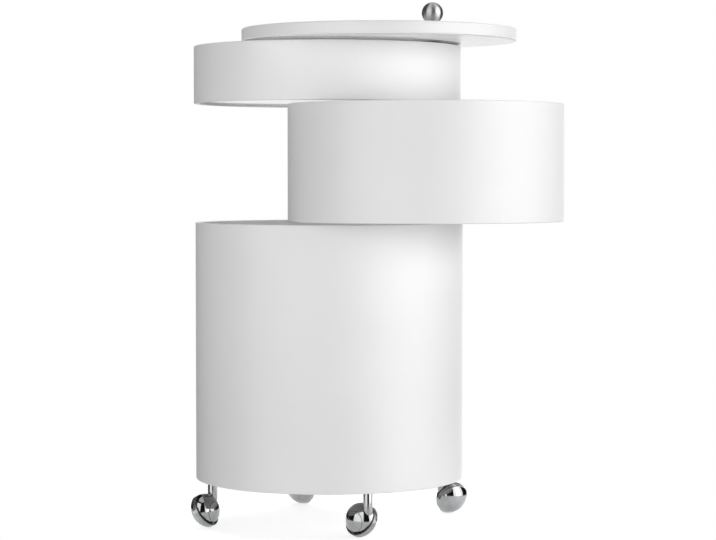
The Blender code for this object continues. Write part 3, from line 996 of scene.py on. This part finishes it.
def floor_finish():
    """Pale where shadows fall, with a glow that makes the rest white, and plain white at the edge."""
    material, tree, shader = matt("pale_floor", FLOOR_TONE, FLOOR_ROUGHNESS)
    shine = add(tree, "ShaderNodeEmission", Color=WHITE)
    strength = tree.nodes.new("ShaderNodeMath")
    strength.operation = "MULTIPLY"
    strength.inputs[1].default_value = FLOOR_GLOW
    tree.links.new(seen(tree), strength.inputs[0])
    tree.links.new(strength.outputs["Value"], shine.inputs["Strength"])
    both = tree.nodes.new("ShaderNodeAddShader")
    tree.links.new(shader.outputs["BSDF"], both.inputs[0])
    tree.links.new(shine.outputs["Emission"], both.inputs[1])
    white = add(tree, "ShaderNodeEmission", Color=WHITE)
    tree.links.new(seen(tree), white.inputs["Strength"])
    fade = tree.nodes.new("ShaderNodeMixShader")
    tree.links.new(distance_share(tree, FLOOR_FADE, FLOOR_RADIUS), fade.inputs["Fac"])
    tree.links.new(both.outputs["Shader"], fade.inputs[1])
    tree.links.new(white.outputs["Emission"], fade.inputs[2])
    tree.links.new(fade.outputs["Shader"], tree.nodes["Material Output"].inputs["Surface"])
    return material


def build_floor():
    mesh = bpy.data.meshes.new("floor")
    shape = bmesh.new()
    bmesh.ops.create_circle(shape, cap_ends=True, segments=FLOOR_SIDES, radius=FLOOR_RADIUS)
    shape.to_mesh(mesh)
    shape.free()
    floor = new_object("floor", mesh, Matrix())
    mesh.materials.append(floor_finish())


def glow(name, strength):
    """A material that only shines."""
    material = bpy.data.materials.new(name)
    tree = node_tree(material)
    light = add(tree, "ShaderNodeEmission", Color=WHITE, Strength=strength)
    tree.links.new(light.outputs["Emission"], tree.nodes["Material Output"].inputs["Surface"])
    return material


def build_walls():
    """Dark studio walls with the softboxes' fronts, seen only in the chrome and the gloss.

    They are open behind the cabinet.
    """
    count = math.ceil((WALL_LAST - WALL_FIRST) / WALL_STEP)
    turns = [WALL_FIRST + (WALL_LAST - WALL_FIRST) * step / count for step in range(count + 1)]
    for first, last, _ in SOFTBOX_FRONTS:
        turns = [turn for turn in turns if not first < turn < last] + [first, last]
    turns = sorted(set(turns))
    mesh = bpy.data.meshes.new("studio_walls")
    shape = bmesh.new()
    columns = []
    for turn in turns:
        spot = level_direction(turn) * WALL_RADIUS
        columns.append([shape.verts.new(spot + UP * level) for level in WALL_LEVELS])
    fronts = [first for first, _, _ in SOFTBOX_FRONTS]
    for turn, left, right in zip(turns, columns, columns[1:]):
        for row in range(len(WALL_LEVELS) - 1):
            face = shape.faces.new((left[row], right[row], right[row + 1], left[row + 1]))
            if row == FRONT_ROW and turn in fronts:
                face.material_index = 1 + fronts.index(turn)
    shape.to_mesh(mesh)
    shape.free()
    walls = new_object("studio_walls", mesh, Matrix())
    dark, _, _ = matt("dark_wall", WALL_TONE, 1.0)
    mesh.materials.append(dark)
    for _, _, radiance in SOFTBOX_FRONTS:
        mesh.materials.append(glow("softbox_front", radiance))
    walls.visible_camera = False
    walls.visible_diffuse = False
    walls.visible_shadow = False


def build_lamps():
    """Softboxes round the cabinet and one high behind it. The walls show their fronts instead."""
    for name, turn, distance, level, tilt, width, height, radiance in LAMPS:
        lamp = bpy.data.lights.new(name, "AREA")
        lamp.shape = "RECTANGLE"
        lamp.size = width
        lamp.size_y = height
        lamp.energy = math.pi * width * height * radiance
        away = level_direction(turn)
        rise = math.radians(tilt)
        back = away * math.cos(rise) - UP * math.sin(rise)
        softbox = bpy.data.objects.new(name, lamp)
        bpy.context.scene.collection.objects.link(softbox)
        softbox.location = away * distance + UP * level
        softbox.rotation_euler = back.to_track_quat("Z", "Y").to_euler()
        softbox.visible_camera = False
        softbox.visible_glossy = False


def build_camera():
    data = bpy.data.cameras.new("camera")
    data.lens = CAMERA_LENS
    data.sensor_width = CAMERA_SENSOR
    camera = bpy.data.objects.new("camera", data)
    bpy.context.scene.collection.objects.link(camera)
    axis = middle("base_shell")
    camera.location = (axis.x + CAMERA_SIDE, axis.y - CAMERA_DISTANCE, CAMERA_HEIGHT)
    camera.rotation_euler = (math.radians(90 - CAMERA_DROP), 0.0, 0.0)
    bpy.context.scene.camera = camera


# The cabinet, then the studio round it

for drum in ("base", "mid", "top"):
    build_shell(drum)
    build_screws(drum)
keep_floor("base_floor")
build_column()
for drum in ("mid", "top"):
    build_drum_floor(drum)
    build_sleeve(drum)
for turning in ("mid", "top", "lid"):
    build_ring(f"{turning}_thrust_washer", SLEEVE_BORE, SLEEVE_RADIUS, "nylon")
build_ring("knob_washer", ROD_RADIUS + SEAT_GAP, SLEEVE_RADIUS, "nylon")
build_rod()
build_lid()
build_bush()
build_ball()
build_casters(["caster_right", "caster_back", "caster_left", "caster_front"])

build_world()
build_floor()
build_walls()
build_lamps()
build_camera()
bpy.context.scene.view_settings.view_transform = "Standard"
